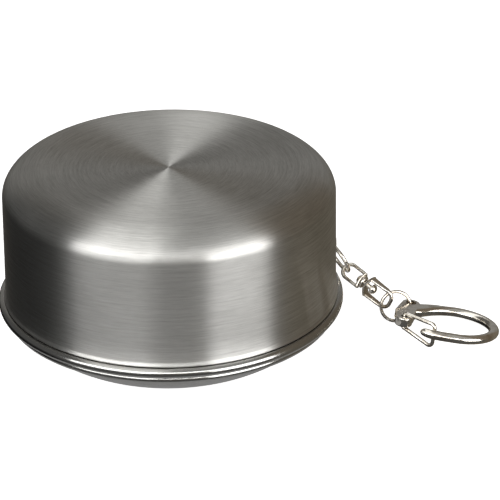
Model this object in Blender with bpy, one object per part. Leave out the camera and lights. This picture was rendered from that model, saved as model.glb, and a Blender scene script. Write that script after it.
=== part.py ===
"""Collapsible steel cup, closed under its press-on lid, with a key chain on the lid.

The origin is on the table under the middle of the foot, +Z is up, and the chain lies on
the table to the +X side. Metres.
"""

import math

import bmesh
import bpy
from mathutils import Matrix, Vector

MM = 0.001
GAP = 0.3 * MM  # between pieces that rest on each other
TURN_STEPS = 48  # facets round a turned piece

# Lid
LID_RADIUS = 41.0 * MM
LID_TOP = 46.5 * MM
LID_SHEET = 0.5 * MM
LID_CORNER_OUT = 9.8 * MM  # the rounded corner's reach across the top
LID_CORNER_DOWN = 6.7 * MM  # and its reach down the wall
LID_FLARE = 0.5 * MM
LID_FLARE_HEIGHT = 1.2 * MM

# Base dish
FOOT_RADIUS = 28.4 * MM
DISH_SHEET = 0.6 * MM
DISH_EDGE = (39.35 * MM, 8.15 * MM)  # radius and height where the dish meets its hem
DISH_INNER_EDGE = 9.1 * MM  # height where the inside of the dish meets its collar
DISH_BULGE = 0.7 * MM
HEM_RADIUS = 1.1 * MM
HEM_CENTRE = (39.9 * MM, 9.1 * MM)  # the smaller roll under the bead
BEAD_RADIUS = 1.25 * MM
BEAD_CENTRE = (41.5 * MM, 11.5 * MM)  # radius and height of the bead's middle
COLLAR_RADIUS = 40.15 * MM  # the upstand that the lid is pressed over
COLLAR_TOP = 16.0 * MM
COLLAR_SHEET = 0.45 * MM

# Cup
CUP_SHEET = 0.5 * MM
CUP_RADIUS = 27.0 * MM  # outside of the smallest ring's lower end
CUP_CORNER = 1.6 * MM
RING_HEIGHT = 29.0 * MM
RING_TAPER = 2.4 * MM  # gain in radius over a ring's height
RING_LAP = 3.0 * MM  # what one ring keeps inside the next when the cup is open
RING_CLEARANCE = 0.12 * MM
RING_RISE = 1.8 * MM  # each closed ring sits this much higher than the one inside it
RING_BOTTOM = 0.5 * MM
RING_STEP = RING_TAPER * (1 - RING_LAP / RING_HEIGHT) + CUP_SHEET + RING_CLEARANCE
RING_NAMES = ["cup_ring_middle_inner", "cup_ring_middle_outer", "cup_ring_rim"]
LIP_RADIUS = 0.85 * MM

# Chain. A wire's size is its radius, and a ring's is measured to the middle of its wire.
WIRE = 0.5 * MM
LUG_AZIMUTH = math.radians(20)
LUG_HEIGHT = 17.6 * MM
LUG_REACH = 3.0 * MM
LUG_TALL = 7.0 * MM
LUG_WIDTH = 2.6 * MM
LUG_SHEET = 0.5 * MM
LUG_RING_TOP = Vector((39.95, 14.45, 17.6)) * MM
LUG_RING_RADIUS = 4.15 * MM
LUG_RING_HANG = Vector((0.55, -0.34, -0.76))
LUG_RING_ACROSS = Vector((0.16, -0.85, 0.49))
SWIVEL_START = Vector((43.7, 12.3, 11.9)) * MM
SWIVEL_END = Vector((54.7, 4.7, 5.6)) * MM
SWIVEL_EYE_ACROSS = Vector((0.64, 0.38, 0.66))
SWIVEL_LOOP_ACROSS = Vector((0.37, -0.22, 0.90))
EYE_LENGTH = 5.6 * MM  # from the bend to the middle of the cross bar
EYE_HALF = 1.9 * MM
LOOP_LENGTH = 6.6 * MM
LOOP_HALF = 2.5 * MM
BAR = 1.0 * MM  # thickness of a cross bar
BAR_DEEP = 2.1 * MM
RIVET = 0.6 * MM  # radius of its shank
RIVET_HOLE = 0.85 * MM
JUMP_RADIUS = 3.75 * MM
JUMP_CENTRE = Vector((56.2, 5.2, 4.3)) * MM
JUMP_NORMAL = Vector((0.14, -0.95, 0.26))
CLIP_CENTRE = Vector((70.5, -3.3, 3.0)) * MM
CLIP_HEADING = math.radians(-5)
CLIP_TILT = math.radians(8.6)
CLIP_ROLL = math.radians(-6)
UP = Vector((0, 0, 1))

# Spring clip, in its own space: X from the head to the far end, Y across, Z its thickness
HOOK_REACH = (9.8 * MM, 9.0 * MM)  # half length and half width of the oval's centre line
HOOK_HALF_WIDE = 1.3 * MM
HOOK_HALF_THICK = 1.15 * MM
CLIP_EYE = (-11.3 * MM, 8.0 * MM)
CLIP_EYE_RADIUS = 1.3 * MM
HEAD_EYE_RADIUS = 2.3 * MM
HEAD_CENTRE = (-12.4 * MM, 2.2 * MM)
HEAD_RADIUS = 2.8 * MM
PIVOT = (-12.9 * MM, -2.0 * MM)
PIVOT_HOLE = 0.85 * MM
HEAD_PIVOT_RADIUS = 2.1 * MM
GATE_END = (-5.2 * MM, -6.7 * MM)
GATE_NEAR = (1.95 * MM, -1.95 * MM)  # heights of its two legs at the pivot
GATE_FAR = (1.8 * MM, -3.9 * MM)  # and at the nose


def clear_scene():
    for item in list(bpy.data.objects):
        bpy.data.objects.remove(item, do_unlink=True)


def metal(name, colour, roughness):
    material = bpy.data.materials.new(name)
    material.use_nodes = True
    shader = material.node_tree.nodes["Principled BSDF"]
    shader.inputs["Base Color"].default_value = (*colour, 1)
    shader.inputs["Metallic"].default_value = 1
    shader.inputs["Roughness"].default_value = roughness
    return material


def add_object(name, mesh, material, smooth=30):
    mesh.name = name
    mesh.materials.clear()
    mesh.materials.append(material)
    mesh.shade_smooth()
    mesh.set_sharp_from_angle(angle=math.radians(smooth))
    item = bpy.data.objects.new(name, mesh)
    bpy.context.collection.objects.link(item)
    return item


def finished(work, name="piece"):
    bmesh.ops.recalc_face_normals(work, faces=work.faces)
    mesh = bpy.data.meshes.new(name)
    work.to_mesh(mesh)
    work.free()
    return mesh


def turned(outline, steps=TURN_STEPS):
    """A body of revolution about Z from an outline of (radius, height) points, closed on itself."""
    work = bmesh.new()
    corners = [work.verts.new((radius, 0, height)) for radius, height in outline]
    on_axis = outline[0][0] == 0 and outline[-1][0] == 0
    pairs = list(zip(corners, corners[1:]))
    if not on_axis:
        pairs.append((corners[-1], corners[0]))
    edges = [work.edges.new(pair) for pair in pairs]
    bmesh.ops.spin(
        work,
        geom=corners + edges,
        axis=(0, 0, 1),
        cent=(0, 0, 0),
        angle=2 * math.pi,
        steps=steps,
        use_merge=True,
    )
    bmesh.ops.remove_doubles(work, verts=work.verts, dist=1e-6)
    return finished(work)


def arc(centre, radius, start, end, steps):
    """Points on an arc in the plane of two coordinates, from start to end in degrees."""
    reach = radius if isinstance(radius, tuple) else (radius, radius)
    points = []
    for step in range(steps + 1):
        angle = math.radians(start + (end - start) * step / steps)
        points.append((centre[0] + reach[0] * math.cos(angle), centre[1] + reach[1] * math.sin(angle)))
    return points


def bulged(start, end, bulge, steps):
    """Points from start to end along a shallow arch that stands out to the right by bulge."""
    (r0, z0), (r1, z1) = start, end
    length = math.hypot(r1 - r0, z1 - z0)
    right = ((z1 - z0) / length, (r0 - r1) / length)
    points = []
    for step in range(steps + 1):
        part = step / steps
        lift = 4 * bulge * part * (1 - part)
        points.append((r0 + (r1 - r0) * part + right[0] * lift, z0 + (z1 - z0) * part + right[1] * lift))
    return points


def swept(centres, across, up, sides=8, closed=False):
    """A tube through centres, with its half widths along two directions at each centre.

    across and up are functions of the place's number that give vectors.
    """
    work = bmesh.new()
    rings = []
    for place, centre in enumerate(centres):
        ring = []
        for side in range(sides):
            angle = 2 * math.pi * (side + 0.5) / sides
            point = centre + across(place) * math.cos(angle) + up(place) * math.sin(angle)
            ring.append(work.verts.new(point))
        rings.append(ring)
    joins = list(zip(rings, rings[1:]))
    if closed:
        joins.append((rings[-1], rings[0]))
    for one, other in joins:
        for side in range(sides):
            after = (side + 1) % sides
            work.faces.new((one[side], one[after], other[after], other[side]))
    if not closed:
        work.faces.new(rings[0])
        work.faces.new(list(reversed(rings[-1])))
    return finished(work)


def wire(points, radius, normal, closed=False, sides=8):
    """A round wire through points that lie in, or close to, one plane with this normal."""
    count = len(points)

    def side_of(place):
        before = points[place - 1] if place or closed else points[0]
        after = points[(place + 1) % count] if place + 1 < count or closed else points[-1]
        along = (after - before).normalized()
        return along.cross(normal).normalized() * radius

    def normal_of(place):
        before = points[place - 1] if place or closed else points[0]
        after = points[(place + 1) % count] if place + 1 < count or closed else points[-1]
        along = (after - before).normalized()
        return side_of(place).cross(along).normalized() * radius

    return swept(points, side_of, normal_of, sides, closed)


def wire_ring(centre, radius, first, second, steps=20):
    """A closed ring of wire in the plane of two directions at right angles."""
    points = []
    for step in range(steps):
        angle = 2 * math.pi * step / steps
        points.append(centre + (first * math.cos(angle) + second * math.sin(angle)) * radius)
    return wire(points, WIRE, first.cross(second), closed=True)


def plate(outline, low, high):
    """A flat plate with this outline between two heights."""
    work = bmesh.new()
    face = work.faces.new([work.verts.new((x, y, low)) for x, y in outline])
    raised = bmesh.ops.extrude_face_region(work, geom=[face])["geom"]
    moved = [item for item in raised if isinstance(item, bmesh.types.BMVert)]
    bmesh.ops.translate(work, verts=moved, vec=(0, 0, high - low))
    return finished(work)


def combined(mesh, other, operation):
    """The Boolean of two meshes in the same space."""
    base = bpy.data.objects.new("base", mesh)
    tool = bpy.data.objects.new("tool", other)
    for item in (base, tool):
        bpy.context.collection.objects.link(item)
    modifier = base.modifiers.new("Boolean", "BOOLEAN")
    modifier.operation = operation
    modifier.object = tool
    bpy.context.view_layer.update()
    result = bpy.data.meshes.new_from_object(base.evaluated_get(bpy.context.evaluated_depsgraph_get()))
    for item in (base, tool):
        bpy.data.objects.remove(item, do_unlink=True)
    return result


def placed(mesh, matrix):
    mesh.transform(matrix)
    return mesh


def axes(origin, along, across):
    """A matrix with X along the first direction and Y as near the second as it can be."""
    x = along.normalized()
    y = (across - x * across.dot(x)).normalized()
    z = x.cross(y)
    return Matrix.Translation(origin) @ Matrix((x, y, z)).transposed().to_4x4()


def set_origin(item, point, parent=None):
    """Moves the object's origin to a point on its joint's axis and leaves the mesh in place."""
    item.data.transform(Matrix.Translation(-point))
    item.location = point
    if parent:
        bpy.context.view_layer.update()
        item.parent = parent
        item.matrix_parent_inverse = parent.matrix_world.inverted()
    return item


# Cup and lid


def ring_radius(number):
    return CUP_RADIUS + number * RING_STEP


def ring_bottom(number):
    return RING_BOTTOM + number * RING_RISE


def make_base_dish(material):
    under = bulged((FOOT_RADIUS, 0), DISH_EDGE, DISH_BULGE, 7)
    hem = arc(HEM_CENTRE, HEM_RADIUS, -110, 65, 6)
    bead = arc(BEAD_CENTRE, BEAD_RADIUS, -95, 110, 8)
    collar_in = COLLAR_RADIUS - COLLAR_SHEET
    inside = bulged((FOOT_RADIUS - DISH_SHEET / 4, DISH_SHEET), (collar_in, DISH_INNER_EDGE), DISH_BULGE, 7)
    outline = [(0, 0), *under, *hem, *bead, (COLLAR_RADIUS, BEAD_CENTRE[1] + BEAD_RADIUS)]
    outline += [(COLLAR_RADIUS, COLLAR_TOP), (collar_in, COLLAR_TOP), *reversed(inside), (0, DISH_SHEET)]
    return add_object("base_dish", turned(outline), material)


def make_inner_cup(material):
    floor = DISH_SHEET + GAP
    top = ring_bottom(0) + RING_HEIGHT
    corner = (CUP_RADIUS - CUP_CORNER, floor + CUP_CORNER)
    outline = [(0, floor), *arc(corner, CUP_CORNER, -90, 0, 3)]
    outline += [(CUP_RADIUS + RING_TAPER, top), (CUP_RADIUS + RING_TAPER - CUP_SHEET, top)]
    outline += arc(corner, CUP_CORNER - CUP_SHEET, 0, -90, 3)
    outline += [(0, floor + CUP_SHEET)]
    return add_object("inner_cup", turned(outline), material)


def make_ring(number, name, material):
    radius = ring_radius(number)
    bottom = ring_bottom(number)
    top = bottom + RING_HEIGHT
    wide = radius + RING_TAPER
    outline = [(radius - CUP_SHEET, bottom), (radius, bottom)]
    if name == RING_NAMES[-1]:
        lip = (wide - CUP_SHEET + LIP_RADIUS, top)
        outline += arc(lip, LIP_RADIUS, -110, 180, 9)
    else:
        outline += [(wide, top), (wide - CUP_SHEET, top)]
    return add_object(name, turned(outline), material)


def make_lid(material):
    mouth = BEAD_CENTRE[1] + BEAD_RADIUS + GAP
    corner = (LID_RADIUS - LID_CORNER_OUT, LID_TOP - LID_CORNER_DOWN)
    reach_out = (LID_CORNER_OUT, LID_CORNER_DOWN)
    reach_in = (LID_CORNER_OUT - LID_SHEET, LID_CORNER_DOWN - LID_SHEET)
    flare_top = mouth + LID_FLARE_HEIGHT
    outline = [(0, LID_TOP), *arc(corner, reach_out, 90, 0, 8), (LID_RADIUS, flare_top)]
    outline += [(LID_RADIUS + LID_FLARE, mouth), (LID_RADIUS + LID_FLARE - LID_SHEET, mouth)]
    outline += [(LID_RADIUS - LID_SHEET, flare_top), *arc(corner, reach_in, 0, 90, 8)]
    outline += [(0, LID_TOP - LID_SHEET)]
    return add_object("lid_shell", turned(outline), material)


def make_lug(material):
    """A strip bent out into an eye, its two ends lying against the lid's wall."""
    half = LUG_TALL / 2
    wall = LID_RADIUS + GAP / 2
    eye_half = half * 0.68
    line = [(wall, half), (wall, eye_half), (wall + LUG_REACH * 0.62, eye_half * 0.94)]
    line += [(wall + LUG_REACH - LUG_SHEET, eye_half * 0.75)]
    line += [(reach, -height) for reach, height in reversed(line)]
    outer = [(wall + LUG_SHEET, half), (wall + LUG_SHEET, eye_half + LUG_SHEET * 0.8)]
    outer += [(wall + LUG_REACH * 0.62 + LUG_SHEET * 0.4, eye_half * 0.94 + LUG_SHEET * 0.8)]
    outer += [(wall + LUG_REACH, eye_half * 0.75 + LUG_SHEET * 0.3)]
    outer += [(reach, -height) for reach, height in reversed(outer)]
    outline = outer + list(reversed(line))
    mesh = plate(outline, -LUG_WIDTH / 2, LUG_WIDTH / 2)
    upright = Matrix.Rotation(math.radians(90), 4, "X")
    turn = Matrix.Rotation(LUG_AZIMUTH, 4, "Z")
    placed(mesh, Matrix.Translation((0, 0, LUG_HEIGHT)) @ turn @ upright)
    return add_object("lid_lug", mesh, material)


# Chain


def at_right_angles(direction, hint):
    return (hint - direction * hint.dot(direction)).normalized()


def make_lug_ring(material):
    hang = LUG_RING_HANG.normalized()
    across = at_right_angles(hang, LUG_RING_ACROSS)
    centre = LUG_RING_TOP + hang * LUG_RING_RADIUS
    return add_object("lug_ring", wire_ring(centre, LUG_RING_RADIUS, hang, across), material)


def swivel_half(length, half, bend):
    """A loop with its cross bar at X 0 and its bend at X length, holed for the rivet."""
    corner = min(bend, half)
    legs = [(0, -half)] + arc((length - corner, -half + corner), corner, -90, 0, 4)
    legs += arc((length - corner, half - corner), corner, 0, 90, 4) + [(0, half)]
    points = [Vector((x, y, 0)) for x, y in legs]
    loop = wire(points, WIRE, UP)
    reach = half + WIRE / 2
    outline = [(-BAR / 2, -reach), (BAR / 2, -reach), (BAR / 2, reach), (-BAR / 2, reach)]
    bar = plate(outline, -BAR_DEEP / 2, BAR_DEEP / 2)
    body = combined(loop, bar, "UNION")
    hole = turned([(0, -BAR), (RIVET_HOLE, -BAR), (RIVET_HOLE, BAR), (0, BAR)], 12)
    placed(hole, Matrix.Rotation(math.radians(90), 4, "Y"))
    return combined(body, hole, "DIFFERENCE")


def make_swivel(material):
    along = (SWIVEL_END - SWIVEL_START).normalized()
    eye_bar = SWIVEL_START + along * EYE_LENGTH
    loop_bar = SWIVEL_END - along * LOOP_LENGTH
    eye = swivel_half(EYE_LENGTH, EYE_HALF, EYE_HALF)
    placed(eye, axes(eye_bar, -along, SWIVEL_EYE_ACROSS))
    loop = swivel_half(LOOP_LENGTH, LOOP_HALF, LOOP_HALF * 0.8)
    placed(loop, axes(loop_bar, along, SWIVEL_LOOP_ACROSS))
    between = (loop_bar - eye_bar).length
    face = BAR / 2 + GAP / 3
    washer = turned(
        [(RIVET_HOLE, face), (1.6 * MM, face), (1.6 * MM, between - face), (RIVET_HOLE, between - face)], 16
    )
    turn = axes(eye_bar, along, SWIVEL_EYE_ACROSS) @ Matrix.Rotation(math.radians(90), 4, "Y")
    placed(washer, turn)
    far = between + BAR / 2 + GAP / 2
    near = -BAR / 2 - GAP / 2
    head = [(0, far + 1.5 * MM), (0.9 * MM, far + 1.3 * MM), (1.3 * MM, far + 0.7 * MM), (1.3 * MM, far)]
    tail = [(1.1 * MM, near), (0.8 * MM, near - 0.6 * MM), (0, near - 0.8 * MM)]
    rivet = turned(head + [(RIVET, far), (RIVET, near)] + tail, 12)
    placed(rivet, turn)
    return (
        add_object("swivel_eye", eye, material),
        add_object("swivel_washer", washer, material),
        add_object("swivel_rivet", rivet, material),
        add_object("swivel_loop", loop, material),
        eye_bar,
    )


def make_jump_ring(material):
    normal = JUMP_NORMAL.normalized()
    level = normal.cross(UP).normalized()
    mesh = wire_ring(JUMP_CENTRE, JUMP_RADIUS, level, normal.cross(level))
    return add_object("jump_ring", mesh, material)


def clip_matrix():
    heading = Matrix.Rotation(CLIP_HEADING, 4, "Z")
    lean = Matrix.Rotation(CLIP_TILT, 4, "Y") @ Matrix.Rotation(CLIP_ROLL, 4, "X")
    return Matrix.Translation(CLIP_CENTRE) @ heading @ lean


def hook_line():
    """The hook's centre line with its half width and half thickness at each point."""
    arm = [((-12.4 * MM, 4.0 * MM), 1.9 * MM), ((-10.2 * MM, 5.6 * MM), 2.4 * MM)]
    arm += [((-7.8 * MM, 7.0 * MM), 2.1 * MM), ((-5.2 * MM, 8.1 * MM), 1.7 * MM)]
    round_part = [(point, HOOK_HALF_WIDE) for point in arc((0, 0), HOOK_REACH, 106, -96, 13)]
    nose = [((-3.6 * MM, -8.9 * MM), 1.25 * MM), ((-6.0 * MM, -8.6 * MM), 1.15 * MM)]
    nose += [((-7.8 * MM, -7.8 * MM), 0.95 * MM), ((-8.5 * MM, -7.4 * MM), 0.45 * MM)]
    return arm + round_part + nose


def make_hook(material):
    line = hook_line()
    centres = [Vector((x, y, 0)) for (x, y), half in line]
    halves = [half for point, half in line]

    def across(place):
        before = centres[max(place - 1, 0)]
        after = centres[min(place + 1, len(centres) - 1)]
        return (after - before).normalized().cross(UP) * halves[place]

    def up(place):
        return Vector((0, 0, min(HOOK_HALF_THICK, halves[place])))

    body = swept(centres, across, up, 10)
    outline = arc(CLIP_EYE, HEAD_EYE_RADIUS, -10, 155, 8) + arc(HEAD_CENTRE, HEAD_RADIUS, 155, 200, 4)
    outline += arc(PIVOT, HEAD_PIVOT_RADIUS, 190, 350, 8)
    head = plate(outline, -HOOK_HALF_THICK, HOOK_HALF_THICK)
    body = combined(body, head, "UNION")
    for centre, radius in ((CLIP_EYE, CLIP_EYE_RADIUS), (PIVOT, PIVOT_HOLE)):
        drill = plate(arc(centre, radius, 0, 360, 12)[:-1], -3 * MM, 3 * MM)
        body = combined(body, drill, "DIFFERENCE")
    return add_object("clip_hook", placed(body, clip_matrix()), material)


def make_gate(material):
    """One bent wire: in at the top of the pivot hole, round the nose and back in from below."""
    start = Vector((*PIVOT, 0))
    end = Vector((*GATE_END, 0))
    reach = end - start
    along = reach.normalized()
    corner = 1.1 * MM
    length = reach.length
    legs = []
    for near, far in zip(GATE_NEAR, GATE_FAR):
        way = math.copysign(1, near)
        leg = [(0, 0.35 * MM * way), (0, near - 0.5 * MM * way), (0.25 * MM, near - 0.12 * MM * way)]
        leg += [(0.8 * MM, near), (length - corner, far)]
        leg += [(x, y * way) for x, y in arc((length - corner, abs(far) - corner), corner, 75, 0, 3)]
        legs.append(leg)
    flat = legs[0] + list(reversed(legs[1]))
    points = [start + along * reach_x + UP * height for reach_x, height in flat]
    mesh = wire(points, WIRE, along.cross(UP))
    return add_object("clip_gate", placed(mesh, clip_matrix()), material)


def main():
    clear_scene()
    brushed = metal("brushed steel", (0.55, 0.54, 0.52), 0.32)
    polished = metal("polished steel", (0.60, 0.59, 0.57), 0.16)
    plated = metal("plated chain", (0.62, 0.58, 0.52), 0.14)

    make_base_dish(polished)
    make_inner_cup(polished)
    for number, name in enumerate(RING_NAMES, 1):
        make_ring(number, name, polished)
    lid = make_lid(brushed)
    lug = make_lug(plated)
    lug.parent = lid
    set_origin(make_lug_ring(plated), LUG_RING_TOP, lid)
    eye, washer, rivet, loop, middle = make_swivel(plated)
    set_origin(eye, SWIVEL_START, lid)
    set_origin(washer, middle, eye)
    set_origin(rivet, middle, eye)
    set_origin(loop, middle, eye)
    set_origin(make_jump_ring(plated), SWIVEL_END, loop)
    hook = set_origin(make_hook(plated), clip_matrix() @ Vector((*CLIP_EYE, 0)), loop)
    set_origin(make_gate(plated), clip_matrix() @ Vector((*PIVOT, 0)), hook)


main()
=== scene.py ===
"""Looks for the collapsible steel cup: its brushed lid, polished cup and plated key chain."""

import math

import bmesh
import bpy
from mathutils import Matrix, Vector


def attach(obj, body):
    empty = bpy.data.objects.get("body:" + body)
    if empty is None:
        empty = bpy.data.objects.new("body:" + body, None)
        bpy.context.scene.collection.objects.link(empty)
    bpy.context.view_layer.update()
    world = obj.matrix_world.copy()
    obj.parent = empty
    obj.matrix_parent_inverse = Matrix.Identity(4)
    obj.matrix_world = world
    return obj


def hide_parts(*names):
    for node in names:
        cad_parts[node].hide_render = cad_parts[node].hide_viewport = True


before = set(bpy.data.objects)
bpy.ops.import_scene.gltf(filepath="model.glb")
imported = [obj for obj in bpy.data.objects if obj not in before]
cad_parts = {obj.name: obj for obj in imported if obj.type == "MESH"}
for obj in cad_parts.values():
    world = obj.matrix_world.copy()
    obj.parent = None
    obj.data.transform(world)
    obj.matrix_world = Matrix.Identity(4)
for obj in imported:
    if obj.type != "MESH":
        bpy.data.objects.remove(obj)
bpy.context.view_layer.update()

MM = 0.001
UP = Vector((0, 0, 1))
ROUND = 192  # facets round the large turned pieces
SMOOTH_ANGLE = 35  # degrees


# Mesh tools


def new_object(name, work, angle=SMOOTH_ANGLE):
    """An object from a bmesh, smooth except where faces meet at more than this angle."""
    bmesh.ops.recalc_face_normals(work, faces=work.faces)
    mesh = bpy.data.meshes.new(name)
    work.to_mesh(mesh)
    work.free()
    mesh.shade_smooth()
    mesh.set_sharp_from_angle(angle=math.radians(angle))
    item = bpy.data.objects.new(name, mesh)
    bpy.context.collection.objects.link(item)
    return item


def turned(name, outline, steps=ROUND, matrix=None):
    """A body of revolution about Z from (radius, height) points in millimetres."""
    work = bmesh.new()
    corners = [work.verts.new((radius * MM, 0, height * MM)) for radius, height in outline]
    pairs = list(zip(corners, corners[1:]))
    if outline[0][0] > 0 or outline[-1][0] > 0:
        pairs.append((corners[-1], corners[0]))
    edges = [work.edges.new(pair) for pair in pairs]
    bmesh.ops.spin(
        work, geom=corners + edges, axis=(0, 0, 1), cent=(0, 0, 0),
        angle=2 * math.pi, steps=steps, use_merge=True,
    )
    bmesh.ops.remove_doubles(work, verts=work.verts, dist=1e-7)
    if matrix:
        bmesh.ops.transform(work, matrix=matrix, verts=work.verts)
    return new_object(name, work)


def arc(centre, radius, start, end, steps):
    """Points on an arc from start to end in degrees; radius is a number or a pair of them."""
    rx, ry = radius if isinstance(radius, tuple) else (radius, radius)
    turns = [math.radians(start + (end - start) * step / steps) for step in range(steps + 1)]
    return [(centre[0] + rx * math.cos(t), centre[1] + ry * math.sin(t)) for t in turns]


def bulged(start, end, bulge, steps):
    """Points from start to end along a shallow arch that stands out to the right by bulge."""
    (r0, z0), (r1, z1) = start, end
    length = math.hypot(r1 - r0, z1 - z0)
    right = ((z1 - z0) / length, (r0 - r1) / length)
    parts = [step / steps for step in range(steps + 1)]
    lifts = [4 * bulge * part * (1 - part) for part in parts]
    return [
        (r0 + (r1 - r0) * part + right[0] * lift, z0 + (z1 - z0) * part + right[1] * lift)
        for part, lift in zip(parts, lifts)
    ]


def smooth_line(points, per_span=6):
    """A Catmull-Rom curve through points."""
    count = len(points)
    line = []
    for span in range(count - 1):
        p0, p1 = points[max(span - 1, 0)], points[span]
        p2, p3 = points[span + 1], points[min(span + 2, count - 1)]
        for step in range(per_span):
            t = step / per_span
            line.append(
                0.5 * (2 * p1 + (p2 - p0) * t + (2 * p0 - 5 * p1 + 4 * p2 - p3) * t ** 2
                       + (3 * p1 - 3 * p2 + p3 - p0) * t ** 3)
            )
    line.append(points[-1])
    return line


def swept(name, points, normal, section, matrix=None):
    """A closed-ended tube along points in millimetres.

    section(part) gives its (sideways, upward) offsets at a part of its length from 0 to 1.
    """
    work = bmesh.new()
    count = len(points)
    rings = []
    for place, point in enumerate(points):
        before, after = points[max(place - 1, 0)], points[min(place + 1, count - 1)]
        along = (after - before).normalized()
        side = along.cross(normal).normalized()
        up = side.cross(along)
        corners = section(place / (count - 1))
        rings.append([work.verts.new((point + side * a + up * b) * MM) for a, b in corners])
    sides = len(rings[0])
    for one, other in zip(rings, rings[1:]):
        for side in range(sides):
            after = (side + 1) % sides
            work.faces.new((one[side], one[after], other[after], other[side]))
    work.faces.new(rings[0])
    work.faces.new(list(reversed(rings[-1])))
    if matrix:
        bmesh.ops.transform(work, matrix=matrix, verts=work.verts)
    return new_object(name, work, 40)


def ellipse(half_wide, half_thick, sides=24, flat=2.0):
    """A section between an ellipse (flat 2) and a rounded bar (more)."""
    points = []
    for side in range(sides):
        turn = 2 * math.pi * (side + 0.5) / sides
        c, s = math.cos(turn), math.sin(turn)
        points.append((
            half_wide * math.copysign(abs(c) ** (2 / flat), c),
            half_thick * math.copysign(abs(s) ** (2 / flat), s),
        ))
    return points


def joined(name, first, *others):
    """One object out of several that touch, by exact union."""
    for other in others:
        modifier = first.modifiers.new("Union", "BOOLEAN")
        modifier.operation = "UNION"
        modifier.object = other
    return baked(name, first, others)


def cut(name, first, *others):
    """The first object less the others."""
    for other in others:
        modifier = first.modifiers.new("Cut", "BOOLEAN")
        modifier.operation = "DIFFERENCE"
        modifier.object = other
    return baked(name, first, others)


def baked(name, first, others):
    """The first object with its modifiers applied, in place of all of them."""
    bpy.context.view_layer.update()
    graph = bpy.context.evaluated_depsgraph_get()
    mesh = bpy.data.meshes.new_from_object(first.evaluated_get(graph))
    for item in (first, *others):
        bpy.data.objects.remove(item, do_unlink=True)
    mesh.set_sharp_from_angle(angle=math.radians(SMOOTH_ANGLE))
    item = bpy.data.objects.new(name, mesh)
    bpy.context.collection.objects.link(item)
    return item


def bevelled(item, width, segments):
    modifier = item.modifiers.new("Bevel", "BEVEL")
    modifier.width = width * MM
    modifier.segments = segments
    modifier.limit_method = "ANGLE"
    modifier.angle_limit = math.radians(40)
    return item


def plate(name, outline, low, high):
    """A flat plate with this outline in millimetres between two heights."""
    work = bmesh.new()
    face = work.faces.new([work.verts.new((x * MM, y * MM, low * MM)) for x, y in outline])
    raised = bmesh.ops.extrude_face_region(work, geom=[face])["geom"]
    moved = [item for item in raised if isinstance(item, bmesh.types.BMVert)]
    bmesh.ops.translate(work, verts=moved, vec=(0, 0, (high - low) * MM))
    return new_object(name, work)


def frame_axes(origin, along, across):
    """A matrix with X along the first direction, Y near the second, and its origin in millimetres."""
    x = along.normalized()
    y = (across - x * across.dot(x)).normalized()
    return Matrix.Translation(origin * MM) @ Matrix((x, y, x.cross(y))).transposed().to_4x4()


# Materials


class Nodes:
    """Short names for the node calls that the materials share."""

    def __init__(self, name):
        self.material = bpy.data.materials.new(name)
        self.material.use_nodes = True
        self.tree = self.material.node_tree
        self.shader = self.tree.nodes["Principled BSDF"]

    def put(self, value, socket):
        if isinstance(value, bpy.types.NodeSocket):
            self.tree.links.new(value, socket)
        elif value is not None:
            socket.default_value = value

    def math(self, operation, first, second=None):
        node = self.tree.nodes.new("ShaderNodeMath")
        node.operation = operation
        for socket, value in zip(node.inputs, (first, second)):
            self.put(value, socket)
        return node.outputs[0]

    def place(self):
        node = self.tree.nodes.new("ShaderNodeTexCoord")
        split = self.tree.nodes.new("ShaderNodeSeparateXYZ")
        self.put(node.outputs["Object"], split.inputs[0])
        return node.outputs["Object"], split.outputs

    def vector(self, x, y, z):
        node = self.tree.nodes.new("ShaderNodeCombineXYZ")
        for socket, value in zip(node.inputs, (x, y, z)):
            self.put(value, socket)
        return node.outputs[0]

    def noise(self, vector, scale, detail, roughness):
        node = self.tree.nodes.new("ShaderNodeTexNoise")
        self.put(vector, node.inputs["Vector"])
        self.put(scale, node.inputs["Scale"])
        self.put(detail, node.inputs["Detail"])
        self.put(roughness, node.inputs["Roughness"])
        return node.outputs[0]

    def range(self, value, low, high, to_low, to_high):
        node = self.tree.nodes.new("ShaderNodeMapRange")
        for socket, number in zip(node.inputs, (value, low, high, to_low, to_high)):
            self.put(number, socket)
        return node.outputs[0]

    def mix(self, factor, first, second):
        node = self.tree.nodes.new("ShaderNodeMix")
        node.data_type = "RGBA"
        self.put(factor, node.inputs[0])
        self.put((*first, 1) if isinstance(first, tuple) else first, node.inputs[6])
        self.put((*second, 1) if isinstance(second, tuple) else second, node.inputs[7])
        return node.outputs[2]

    def bump(self, height, distance, strength=1.0, normal=None):
        node = self.tree.nodes.new("ShaderNodeBump")
        self.put(strength, node.inputs["Strength"])
        self.put(distance, node.inputs["Distance"])
        self.put(height, node.inputs["Height"])
        self.put(normal, node.inputs["Normal"])
        return node.outputs[0]


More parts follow.
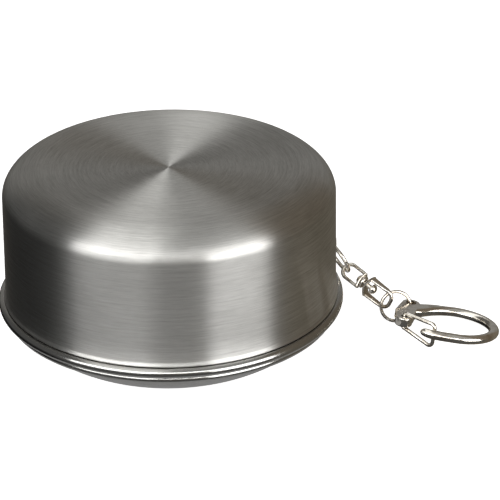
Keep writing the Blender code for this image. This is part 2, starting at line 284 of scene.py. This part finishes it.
def brushed_steel(name, dark, light, rough, anisotropy, grain, depth):
    """Steel brushed in circles round Z: fine long streaks over broader ones, a faint cloudy tone,
    anisotropic gloss.
    """
    n = Nodes(name)
    whole, (x, y, z) = n.place()
    radius = n.math("SQRT", n.math("ADD", n.math("MULTIPLY", x, x), n.math("MULTIPLY", y, y)))
    safe = n.math("MAXIMUM", radius, 0.0002)
    across = n.math("SUBTRACT", radius, z)
    cosine, sine = n.math("DIVIDE", x, safe), n.math("DIVIDE", y, safe)

    def stretched(per_metre, per_turn):
        """Noise coordinates that change fast across the streaks and slowly along them."""
        around = (n.math("MULTIPLY", part, per_turn) for part in (cosine, sine))
        return n.vector(n.math("MULTIPLY", across, per_metre), *around)

    fine = n.noise(stretched(grain, 9), 1, 5, 0.7)
    coarse = n.noise(stretched(grain / 5, 2.2), 1, 3, 0.6)
    cloud = n.noise(whole, 60, 3, 0.5)
    streaks = n.math("ADD", n.math("MULTIPLY", fine, 0.65), n.math("MULTIPLY", coarse, 0.35))
    tone = n.math("ADD", n.range(streaks, 0.3, 0.7, 0, 0.85), n.range(cloud, 0.35, 0.65, 0, 0.15))
    n.put(n.mix(tone, dark, light), n.shader.inputs["Base Color"])
    n.put(n.range(streaks, 0.3, 0.7, rough + 0.05, rough - 0.05), n.shader.inputs["Roughness"])
    n.put(n.bump(streaks, depth), n.shader.inputs["Normal"])
    n.shader.inputs["Metallic"].default_value = 1
    n.shader.inputs["Anisotropic"].default_value = anisotropy
    n.shader.inputs["Anisotropic Rotation"].default_value = 0.25
    tangent = n.tree.nodes.new("ShaderNodeTangent")
    tangent.direction_type = "RADIAL"
    tangent.axis = "Z"
    n.put(tangent.outputs[0], n.shader.inputs["Tangent"])
    return n.material


def plated(name, dark, light, rough):
    """Bright nickel plating over a tumbled surface: soft waves, tiny pits, worn and tarnished patches."""
    n = Nodes(name)
    whole, unused = n.place()
    waves = n.noise(whole, 420, 2, 0.5)
    pits = n.noise(whole, 5200, 3, 0.6)
    tarnish = n.range(n.noise(whole, 260, 4, 0.6), 0.42, 0.68, 0, 1)
    n.put(n.mix(tarnish, light, dark), n.shader.inputs["Base Color"])
    n.put(n.range(pits, 0.35, 0.7, rough, rough + 0.09), n.shader.inputs["Roughness"])
    soft = n.bump(waves, 0.00012, 0.5)
    n.put(n.bump(pits, 0.000012, 0.6, soft), n.shader.inputs["Normal"])
    n.shader.inputs["Metallic"].default_value = 1
    return n.material


GRAIN_DEPTH = 0.000006
lid_steel = brushed_steel(
    "lid_brushed", (0.36, 0.355, 0.34), (0.80, 0.795, 0.77),
    rough=0.37, anisotropy=0.90, grain=9000, depth=GRAIN_DEPTH,
)
cup_steel = brushed_steel(
    "cup_polished", (0.42, 0.415, 0.40), (0.60, 0.595, 0.575),
    rough=0.20, anisotropy=0.6, grain=7000, depth=GRAIN_DEPTH,
)
ring_steel = brushed_steel(
    "ring_brushed", (0.58, 0.575, 0.56), (0.84, 0.83, 0.81),
    rough=0.30, anisotropy=0.8, grain=8000, depth=GRAIN_DEPTH,
)
chain_metal = plated("chain_plated", (0.62, 0.55, 0.46), (0.93, 0.89, 0.82), 0.11)


def finish(item, node, body, material):
    """Dress an object, carry it on a CAD body and show it in place of a CAD node."""
    item.data.materials.clear()
    item.data.materials.append(material)
    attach(item, body)
    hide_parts(node)


# Lid

LID_RADIUS = 41.0
LID_TOP = 46.5
LID_SHEET = 0.5
LID_CORNER = (9.8, 6.7)  # how far the rounded corner reaches across the top and down the wall
LID_MOUTH = 12.88
LID_FLARE = 0.42


def lid_outline():
    centre = (LID_RADIUS - LID_CORNER[0], LID_TOP - LID_CORNER[1])
    inner = (LID_CORNER[0] - LID_SHEET, LID_CORNER[1] - LID_SHEET)
    flare_top = LID_MOUTH + 1.2
    edge = LID_SHEET / 2
    outline = [(0, LID_TOP)] + [(centre[0] * part / 8, LID_TOP) for part in range(1, 8)]
    outline += arc(centre, LID_CORNER, 90, 0, 28)
    outline += [(LID_RADIUS, flare_top + (centre[1] - flare_top) * part / 6) for part in range(5, -1, -1)]
    outline += [(LID_RADIUS + 0.08, flare_top - 0.3), (LID_RADIUS + 0.25, flare_top - 0.6)]
    outline += arc((LID_RADIUS + LID_FLARE - edge, LID_MOUTH + edge), edge, 40, -180, 8)
    outline += [(LID_RADIUS - LID_SHEET + 0.25, flare_top - 0.45), (LID_RADIUS - LID_SHEET, flare_top)]
    outline += arc(centre, inner, 0, 90, 20)
    outline += [(0, LID_TOP - LID_SHEET)]
    return outline


lid = turned("lid_brushed_shell", lid_outline())
finish(lid, "lid_shell", "lid", lid_steel)


# Base dish, inner cup and rings

FOOT_RADIUS = 28.4
DISH_SHEET = 0.6
DISH_EDGE = (39.35, 8.15)  # where the dish's curve meets the hem
DISH_BULGE = 0.7
HEM = (39.9, 9.1)  # the small roll under the bead
HEM_RADIUS = 1.1
BEAD = (41.5, 11.5)
BEAD_RADIUS = 1.25
COLLAR_RADIUS = 40.15
COLLAR_IN = 39.7
COLLAR_TOP = 16.0
EDGE_RADIUS = 0.25  # of the turned edges of the rings


def dish_outline():
    foot = [(0, 0.25), (19.0, 0.25), (19.5, 0.12), (20.0, 0), (FOOT_RADIUS - 1.2, 0)]
    wall = bulged((FOOT_RADIUS - 0.6, 0.14), DISH_EDGE, DISH_BULGE, 22)
    wall += arc(HEM, HEM_RADIUS, -105, 62, 14) + [(40.75, 10.13), (41.1, 10.2)]
    bead = arc(BEAD, BEAD_RADIUS, -88, 112, 20)
    lip = (COLLAR_RADIUS - COLLAR_IN) / 2
    collar = [(COLLAR_RADIUS, BEAD[1] + BEAD_RADIUS)]
    collar += arc((COLLAR_RADIUS - lip, COLLAR_TOP - lip), lip, 0, 180, 6)
    inside = bulged((FOOT_RADIUS - 0.15, DISH_SHEET), (COLLAR_IN, HEM[1]), DISH_BULGE, 14)
    return foot + wall + bead + collar + list(reversed(inside)) + [(0, DISH_SHEET)]


dish = turned("base_dish_shell", dish_outline())
finish(dish, "base_dish", "base", cup_steel)

CUP_SHEET = 0.5
CUP_RADIUS = 27.0
RING_HEIGHT = 29.0
RING_TAPER = 2.4
RING_LAP = 3.0  # how far a drawn ring stays inside the next
RING_STEP = RING_TAPER * (RING_HEIGHT - RING_LAP) / RING_HEIGHT + CUP_SHEET + 0.12
RING_RISE = 1.8
RING_BOTTOM = 0.5
LIP = 0.85


def cup_outline():
    floor, corner = 0.9, 1.6
    centre = (CUP_RADIUS - corner, floor + corner)
    top = RING_BOTTOM + RING_HEIGHT
    wide = CUP_RADIUS + RING_TAPER
    outline = [(0, floor), (8, floor), *arc(centre, corner, -90, 0, 8)]
    outline += arc((wide - EDGE_RADIUS, top - EDGE_RADIUS), EDGE_RADIUS, 0, 180, 6)
    outline += arc(centre, corner - CUP_SHEET, 0, -90, 8)
    outline += [(18, floor + CUP_SHEET), (17.4, floor + CUP_SHEET + 0.15), (16.8, floor + CUP_SHEET)]
    return outline + [(0, floor + CUP_SHEET)]


def ring_outline(number, lipped):
    radius, bottom = CUP_RADIUS + number * RING_STEP, RING_BOTTOM + number * RING_RISE
    top, wide = bottom + RING_HEIGHT, radius + RING_TAPER
    outline = arc((radius - EDGE_RADIUS, bottom + EDGE_RADIUS), EDGE_RADIUS, -180, 0, 6)
    if lipped:
        outline += arc((wide - CUP_SHEET + LIP, top), LIP, -110, 180, 18)
    else:
        outline += arc((wide - EDGE_RADIUS, top - EDGE_RADIUS), EDGE_RADIUS, 0, 180, 6)
    return outline


cup = turned("inner_cup_shell", cup_outline())
finish(cup, "inner_cup", "base", ring_steel)
RINGS = [
    ("cup_ring_middle_inner", "ring_inner", False),
    ("cup_ring_middle_outer", "ring_outer", False),
    ("cup_ring_rim", "ring_rim", True),
]
for number, (node, body, lipped) in enumerate(RINGS, 1):
    ring = turned(node + "_shell", ring_outline(number, lipped))
    finish(ring, node, body, ring_steel)


# Key chain

WIRE = 0.5  # half the thickness of the chain's wire
LUG_AZIMUTH = math.radians(20)
LUG_HEIGHT = 17.6
LUG_RING_TOP = Vector((39.95, 14.45, 17.6))
LUG_RING_RADIUS = 4.15
HANG = Vector((0.55, -0.34, -0.76)).normalized()
LUG_RING_ACROSS = Vector((0.16, -0.85, 0.49))
SWIVEL_START = Vector((43.7, 12.3, 11.9))
SWIVEL_END = Vector((54.7, 4.7, 5.6))
ALONG = (SWIVEL_END - SWIVEL_START).normalized()
EYE_ACROSS = Vector((0.64, 0.38, 0.66))
LOOP_ACROSS = Vector((0.37, -0.22, 0.90))
JUMP_CENTRE = Vector((56.2, 5.2, 4.3))
JUMP_RADIUS = 3.75
JUMP_WIRE = 0.43  # a little thinner, to swing clear of the swivel
JUMP_NORMAL = Vector((0.14, -0.95, 0.26)).normalized()
CLIP_CENTRE = Vector((70.5, -3.3, 3.0))
RIVET_HOLE = 0.8
Z_TO_X = Matrix.Rotation(math.radians(90), 4, "Y")


def dress_chain(item, node, body):
    finish(item, node, body, chain_metal)


def wire_ring(name, centre, radius, first, second, start, wire=WIRE):
    """A ring of round wire, its two sawn ends meeting with a hairline gap at start degrees."""
    points = []
    for step in range(97):
        turn = math.radians(start + 0.8 + 358.4 * step / 96)
        points.append(centre + (first * math.cos(turn) + second * math.sin(turn)) * radius)

    def section(part):
        end = min(part, 1 - part) * 96
        size = wire * (0.9 if end < 0.5 else 1.0)
        return ellipse(size, size)

    return swept(name, points, first.cross(second), section)


def make_lug():
    """A strip folded into an eye, its two feet on the lid's wall."""
    wall, half, reach, sheet = LID_RADIUS + 0.15, 3.5, 3.0, 0.5
    eye = half * 0.68
    bend = [
        (sheet / 2, half), (sheet / 2, eye + 0.35), (sheet / 2 + 0.25, eye),
        (reach * 0.62, eye * 0.97), (reach - sheet * 0.75, eye * 0.75), (reach - sheet / 2, eye * 0.4),
    ]
    line = [Vector((wall + out, 0, up)) for out, up in bend]
    line += [Vector((wall + out, 0, -up)) for out, up in reversed(bend)]
    turn = Matrix.Translation((0, 0, LUG_HEIGHT * MM)) @ Matrix.Rotation(LUG_AZIMUTH, 4, "Z")
    strip = ellipse(sheet / 2, 1.05, 24, 5)
    return swept("lid_lug_strip", smooth_line(line, 8), Vector((0, 1, 0)), lambda part: strip, matrix=turn)


def cross_band(name, half, bow):
    """A swivel half's flat cross band, bowed along X, with a hole for the rivet."""
    points = []
    for step in range(25):
        y = -half + 2 * half * step / 24
        points.append(Vector((bow * (1 - (y / half) ** 2), y, 0)))
    strip = ellipse(0.36, 1.2, 24, 4)
    band = swept(name, points, UP, lambda part: strip)
    bore = [(0, -3), (RIVET_HOLE, -3), (RIVET_HOLE, 3), (0, 3)]
    return cut(name, band, turned("hole", bore, 32, Z_TO_X))


def swivel_half(name, length, half, corner, bow, matrix):
    """A wire loop with its band at X 0 and its bend at X length."""
    bend = arc((length - corner, -half + corner), corner, -90, 0, 12)
    second_bend = arc((length - corner, half - corner), corner, 0, 90, 12)
    bend += [point for point in second_bend if point != bend[-1]]
    flat = [(0, -half), (length * 0.3, -half), *bend, (length * 0.3, half), (0, half)]
    legs = [Vector((x, y, 0)) for x, y in flat]

    def section(part):
        end = min(part, 1 - part)
        spread = max(0.0, 1 - end / 0.12)
        return ellipse(WIRE - 0.1 * spread, WIRE + 0.5 * spread, 24, 2 + spread)

    loop = swept(name, legs, UP, section)
    band = cross_band("band", half + 0.15, bow)
    whole = joined(name, loop, band)
    whole.data.transform(matrix)
    return whole


EYE_LENGTH = 5.6
LOOP_LENGTH = 6.6
eye_bar = SWIVEL_START + ALONG * EYE_LENGTH
loop_bar = SWIVEL_END - ALONG * LOOP_LENGTH
between = (loop_bar - eye_bar).length

dress_chain(make_lug(), "lid_lug", "lid")
lug_across = (LUG_RING_ACROSS - HANG * LUG_RING_ACROSS.dot(HANG)).normalized()
lug_ring_centre = LUG_RING_TOP + HANG * LUG_RING_RADIUS
lug_ring = wire_ring("lug_ring_wire", lug_ring_centre, LUG_RING_RADIUS, HANG, lug_across, 245)
dress_chain(lug_ring, "lug_ring", "lug_ring")

eye_place = frame_axes(eye_bar, -ALONG, EYE_ACROSS)
eye = swivel_half("swivel_eye_loop", EYE_LENGTH, half=1.9, corner=1.9, bow=0.4, matrix=eye_place)
dress_chain(eye, "swivel_eye", "swivel_upper")
loop_place = frame_axes(loop_bar, ALONG, LOOP_ACROSS)
loop = swivel_half("swivel_lower_loop", LOOP_LENGTH, half=2.5, corner=2.0, bow=-1.1, matrix=loop_place)
dress_chain(loop, "swivel_loop", "swivel_lower")

spindle = frame_axes(eye_bar, ALONG, EYE_ACROSS) @ Z_TO_X
low, high = 0.1, between - 1.65
washer_edge = arc((1.5, (low + high) / 2), (0.2, (high - low) / 2), -90, 90, 8)
washer_line = [(RIVET_HOLE, low), (1.4, low), *washer_edge, (RIVET_HOLE, high)]
dress_chain(turned("swivel_washer_disc", washer_line, 48, spindle), "swivel_washer", "swivel_upper")
head = between + 0.65
dome = arc((0, head + 0.25), (1.3, 1.2), 90, 0, 12)
tail = arc((0, -0.75), (1.05, 0.55), 0, -90, 6)
rivet_line = dome + [(1.25, head), (0.6, head), (0.6, -0.65), (1.1, -0.65)] + tail
dress_chain(turned("swivel_rivet_pin", rivet_line, 48, spindle), "swivel_rivet", "swivel_upper")

level = JUMP_NORMAL.cross(UP).normalized()
jump = wire_ring("jump_ring_wire", JUMP_CENTRE, JUMP_RADIUS, level, JUMP_NORMAL.cross(level), 60, JUMP_WIRE)
dress_chain(jump, "jump_ring", "jump_ring")

clip_place = (
    Matrix.Translation(CLIP_CENTRE * MM)
    @ Matrix.Rotation(math.radians(-5), 4, "Z")
    @ Matrix.Rotation(math.radians(8.6), 4, "Y")
    @ Matrix.Rotation(math.radians(-6), 4, "X")
)
CLIP_EYE = (-11.3, 8.0)
PIVOT = (-12.9, -2.0)
HEAD = (-12.4, 2.2)
CLIP_HALF_THICK = 1.15


def make_hook():
    """The cast hook: a polished oval with a tapered nose, and a flat head with two holes."""
    arm = [((-12.4, 4.0), 1.9), ((-10.2, 5.6), 2.4), ((-7.8, 7.0), 2.1), ((-5.2, 8.1), 1.7)]
    oval = [(point, 1.3) for point in arc((0, 0), (9.8, 9.0), 106, -96, 13)]
    nose = [((-3.6, -8.9), 1.25), ((-6.0, -8.6), 1.15), ((-7.8, -7.8), 0.95), ((-8.5, -7.4), 0.45)]
    line = arm + oval + nose
    points = smooth_line([Vector((x, y, 0)) for (x, y), half in line], 6)
    halves = smooth_line([Vector((half, 0, 0)) for point, half in line], 6)
    last = len(points) - 1

    def section(part):
        half = halves[round(part * last)].x
        flatness = 2 + 2.5 * max(0.0, 1 - part / 0.22)
        return ellipse(half, min(CLIP_HALF_THICK, half), 28, flatness)

    body = swept("clip_body", points, UP, section)
    outline = arc(CLIP_EYE, 2.3, -10, 155, 24) + arc(HEAD, 2.8, 155, 200, 10)
    outline += arc(PIVOT, 2.1, 190, 350, 24)
    head = bevelled(plate("clip_head", outline, -CLIP_HALF_THICK, CLIP_HALF_THICK), 0.28, 3)
    holes = ((CLIP_EYE, 1.3), (PIVOT, 0.85))
    drills = [plate("drill", arc(centre, radius, 0, 360, 32)[:-1], -3, 3) for centre, radius in holes]
    hook = cut("clip_hook_cast", joined("clip_hook_cast", body, head), *drills)
    hook.data.transform(clip_place)
    return hook


def make_gate():
    """One bent wire: in at the top of the pivot hole, round the nose and back in from below."""
    start, end = Vector((*PIVOT, 0)), Vector((-5.2, -6.7, 0))
    along, length, corner = (end - start).normalized(), (end - start).length, 1.1
    legs = []
    for near, far in ((1.95, 1.8), (-1.95, -3.9)):
        way = math.copysign(1, near)
        leg = [(0, 0.35 * way), (0, near - 0.6 * way), (0.08, near - 0.25 * way)]
        leg += [(0.3, near - 0.06 * way), (0.8, near)]
        leg += [(0.8 + (length - corner - 0.8) * part, near + (far - near) * part) for part in (0.33, 0.66)]
        leg += [(x, y * way) for x, y in arc((length - corner, abs(far) - corner), corner, 90, 0, 8)]
        legs.append(leg)
    flat = legs[0] + legs[1][::-1]
    points = [start + along * x + UP * y for x, y in flat]
    round_wire = ellipse(WIRE, WIRE)
    return swept("clip_gate_wire", points, along.cross(UP), lambda part: round_wire, matrix=clip_place)


dress_chain(make_hook(), "clip_hook", "clip")
dress_chain(make_gate(), "clip_gate", "gate")


# Floor, lights and camera


ROOM_LEFT = (0.10, 0.10, 0.098)
ROOM_RIGHT = (0.16, 0.135, 0.105)
ROOM_BACK = (0.24, 0.235, 0.225)
PANEL_LEFT = (1.15, 1.15, 1.13)
PANEL_RIGHT = (0.34, 0.34, 0.33)
TABLE_LEFT = (0.01, 0.01, 0.01)
TABLE_RIGHT = (0.155, 0.138, 0.108)
TABLE_FRONT = (0.08, 0.08, 0.078)
SOFTBOX_DISTANCE = 1.1


def make_floor(name, radius, height, shade, glow):
    """A round disc at table height, set as stage: the white table, or the dark glowing disc of painted
    shade under the cup; the caller says which rays see it.
    """
    n = Nodes(name)
    whole, unused = n.place()
    tones = (shade, shade, shade), (shade + 0.02, shade + 0.02, shade + 0.02)
    n.put(n.mix(n.noise(whole, 3, 2, 0.5), *tones), n.shader.inputs["Base Color"])
    n.shader.inputs["Roughness"].default_value = 0.8
    n.shader.inputs["Emission Color"].default_value = (1, 1, 1, 1)
    n.shader.inputs["Emission Strength"].default_value = glow
    work = bmesh.new()
    bmesh.ops.create_circle(work, cap_ends=True, radius=radius, segments=96)
    bmesh.ops.translate(work, verts=work.verts, vec=(0, 0, height))
    item = new_object(name, work)
    item.data.materials.append(n.material)
    return item


def softbox(name, azimuth, elevation, size, glow):
    """A rectangular light aimed at the cup, with the brightness of its face.

    Azimuth 0 is the viewer's side (-Y) and 90 is +X.
    """
    light = bpy.data.lights.new(name, "AREA")
    light.shape = "RECTANGLE"
    light.size, light.size_y = size
    light.energy = glow * math.pi * size[0] * size[1]
    item = bpy.data.objects.new(name, light)
    bpy.context.collection.objects.link(item)
    a, e = math.radians(azimuth), math.radians(elevation)
    away = Vector((math.sin(a) * math.cos(e), -math.cos(a) * math.cos(e), math.sin(e)))
    item.location = Vector((0, 0, 0.025)) + away * SOFTBOX_DISTANCE
    item.rotation_euler = away.to_track_quat("Z", "Y").to_euler()


def set_world():
    """A dim room, warm on the right, with two ceiling panels and a table that darkens to the left."""
    world = bpy.data.worlds.new("room")
    world.use_nodes = True
    bpy.context.scene.world = world
    tree = world.node_tree

    def node(kind, **settings):
        made = tree.nodes.new(kind)
        for key, value in settings.items():
            setattr(made, key, value)
        return made

    def blend(factor, first, second):
        mix = node("ShaderNodeMix", data_type="RGBA")
        tree.links.new(factor, mix.inputs[0])
        for socket, value in ((mix.inputs[6], first), (mix.inputs[7], second)):
            if isinstance(value, tuple):
                socket.default_value = (*value, 1)
            else:
                tree.links.new(value, socket)
        return mix.outputs[2]

    def part_way(socket, low, high):
        ranged = node("ShaderNodeMapRange", interpolation_type="SMOOTHSTEP")
        tree.links.new(socket, ranged.inputs["Value"])
        ranged.inputs["From Min"].default_value = low
        ranged.inputs["From Max"].default_value = high
        return ranged.outputs[0]

    def combined(operation, first, second):
        made = node("ShaderNodeMath", operation=operation)
        for socket, value in zip(made.inputs, (first, second)):
            if isinstance(value, float):
                socket.default_value = value
            else:
                tree.links.new(value, socket)
        return made.outputs[0]

    where = node("ShaderNodeTexCoord")
    split = node("ShaderNodeSeparateXYZ")
    tree.links.new(where.outputs["Generated"], split.inputs[0])
    x, y, z = split.outputs
    sides = blend(part_way(x, -0.75, 0.6), ROOM_LEFT, ROOM_RIGHT)
    walls = blend(part_way(y, 0.72, 0.92), sides, ROOM_BACK)
    # two ceiling panels side by side, narrower towards the back
    slant = combined("DIVIDE", x, combined("SUBTRACT", 0.89, y))
    panels = blend(part_way(slant, -0.10, 0.02), PANEL_LEFT, PANEL_RIGHT)
    panels = blend(part_way(slant, -0.62, -0.54), walls, panels)
    panels = blend(part_way(slant, 0.54, 0.66), panels, walls)
    raised = blend(part_way(z, 0.42, 0.52), walls, panels)
    edges = blend(part_way(x, -0.75, 0.6), TABLE_LEFT, TABLE_RIGHT)
    table = blend(part_way(y, 0.05, -0.40), edges, TABLE_FRONT)
    whole = blend(part_way(z, -0.12, 0.02), table, raised)
    tree.links.new(whole, tree.nodes["Background"].inputs["Color"])


# the white table shows to the camera, and under the cup the metal reflects painted shade: a dark, faintly
# glowing disc that stands in for the table in the cup's shadow
table = make_floor("floor", radius=4.0, height=-0.0003, shade=0.93, glow=0.8)
table.visible_glossy = False
# painted shade for the table in the cup's shadow: dark, faintly glowing, seen only in the metal's
# reflections
painted_shade_disc = make_floor("painted_shade_under_cup", radius=0.048, height=-0.0001, shade=0.12, glow=0.22)
painted_shade_disc.visible_camera = painted_shade_disc.visible_shadow = painted_shade_disc.visible_diffuse = False

set_world()
softbox("front_left", -41, 24, (1.05, 0.50), 3.8)
softbox("front_middle", 3, 29, (0.65, 0.20), 5.2)
softbox("front_right", 45.5, 14, (0.86, 0.75), 3.9)

camera = bpy.data.cameras.new("camera")
camera.sensor_width = 36
camera.lens = 297.135
viewer = bpy.data.objects.new("camera", camera)
bpy.context.collection.objects.link(viewer)
viewer.location = (0, -0.9136, 0.4775)
viewer.rotation_euler = (1.1096, 0.0095, -0.0263)
bpy.context.scene.camera = viewer
bpy.context.scene.view_settings.view_transform = "Standard"
